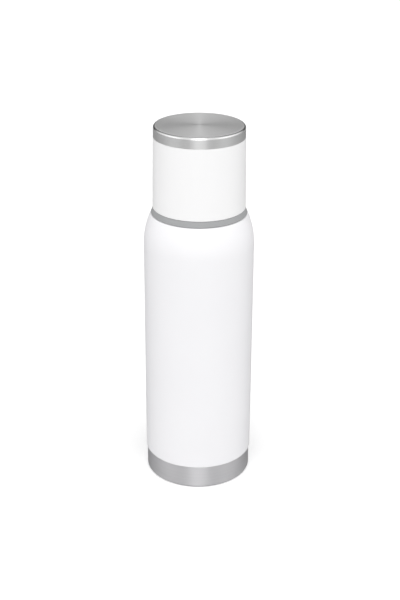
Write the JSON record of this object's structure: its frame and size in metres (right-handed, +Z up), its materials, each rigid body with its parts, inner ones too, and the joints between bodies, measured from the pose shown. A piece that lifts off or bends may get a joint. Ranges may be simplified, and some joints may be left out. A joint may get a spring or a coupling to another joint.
{
  "type": "vacuum flask",
  "caption": "Tall cylindrical vacuum flask with a white coated steel body, screw-on cup with a bare steel cap, a grey collar band and a steel base; a push-button stopper sits under the cup.",
  "frame": {"origin": "centre of the face that the flask stands on", "axes": "+Z up along the flask's axis; the flask is round, so +X and +Y are any two level directions"},
  "size_m": [0.084, 0.084, 0.2853],
  "materials": {
    "coated_steel": "satin powder coat, near white",
    "bare_steel": "brushed, lathe-turned grain",
    "inner_steel": "electropolished",
    "thread_steel": "bright rolled",
    "copper_foil": "thin reflecting copper foil",
    "getter_metal": "sintered",
    "solder": "fused bead",
    "foam_dark": "closed-cell foam",
    "foam_light": "expanded foam",
    "silicone": "translucent white silicone",
    "grey_polymer": "fine matt texture",
    "light_polymer": "moulded, satin",
    "button_polymer": "fine matt texture",
    "spring_steel": "drawn wire"
  },
  "bodies": {
    "flask": {"outer_shell": "coated_steel", "inner_vessel": "inner_steel", "mouth_tube": "inner_steel", "neck_ring": "thread_steel", "vacuum_bottom": "inner_steel", "vacuum_seal": "solder", "getter": "getter_metal", "foil_wrap": "copper_foil", "base_cushion": "foam_dark", "base_cap": "bare_steel"},
    "lip_seal": {"lip_gasket": "silicone"},
    "plug_seal": {"plug_gasket": "silicone"},
    "stopper": {"collar": "grey_polymer", "plug_shell": "light_polymer", "plug_foam": "foam_light", "valve_spring": "spring_steel"},
    "valve": {"push_button": "button_polymer", "valve_rod": "spring_steel", "valve_head": "light_polymer", "valve_seal": "silicone", "valve_screw": "spring_steel"},
    "cup_seal": {"cup_gasket": "silicone"},
    "cup_pad": {"cup_foam": "foam_light"},
    "cup": {"cup_thread_ring": "grey_polymer", "cup_liner": "inner_steel", "cup_shell": "coated_steel", "cup_cap": "bare_steel"}
  },
  "joints": [
    {"name": "stopper_lift", "type": "slide", "parent": "flask", "child": "lip_seal", "axis": [0, 0, 1], "range_m": [0, 0.09]},
    {"name": "stopper_rise", "type": "slide", "parent": "lip_seal", "child": "plug_seal", "axis": [0, 0, 1], "range_m": [0, 0.01401]},
    {"name": "stopper_turn", "type": "hinge", "parent": "plug_seal", "child": "stopper", "pos_m": [0, 0, 0.23], "axis": [0, 0, 1], "range_deg": [0, 420]},
    {"name": "button_press", "type": "slide", "parent": "stopper", "child": "valve", "axis": [0, 0, -1], "range_m": [0, 0.004], "stiffness_N_per_m": 400, "springref_m": -0.01, "deforming": ["valve_spring"]},
    {"name": "cup_lift", "type": "slide", "parent": "stopper", "child": "cup_seal", "axis": [0, 0, 1], "range_m": [0, 0.084]},
    {"name": "cup_rise", "type": "slide", "parent": "cup_seal", "child": "cup_pad", "axis": [0, 0, 1], "range_m": [0, 0.01201]},
    {"name": "cup_turn", "type": "hinge", "parent": "cup_pad", "child": "cup", "pos_m": [0, 0, 0.25], "axis": [0, 0, 1], "range_deg": [0, 360]}
  ],
  "couplings": [
    {"joint": "stopper_rise", "follows": "stopper_turn", "m_per_rad": 0.0019099},
    {"joint": "cup_rise", "follows": "cup_turn", "m_per_rad": 0.0019099}
  ]
}
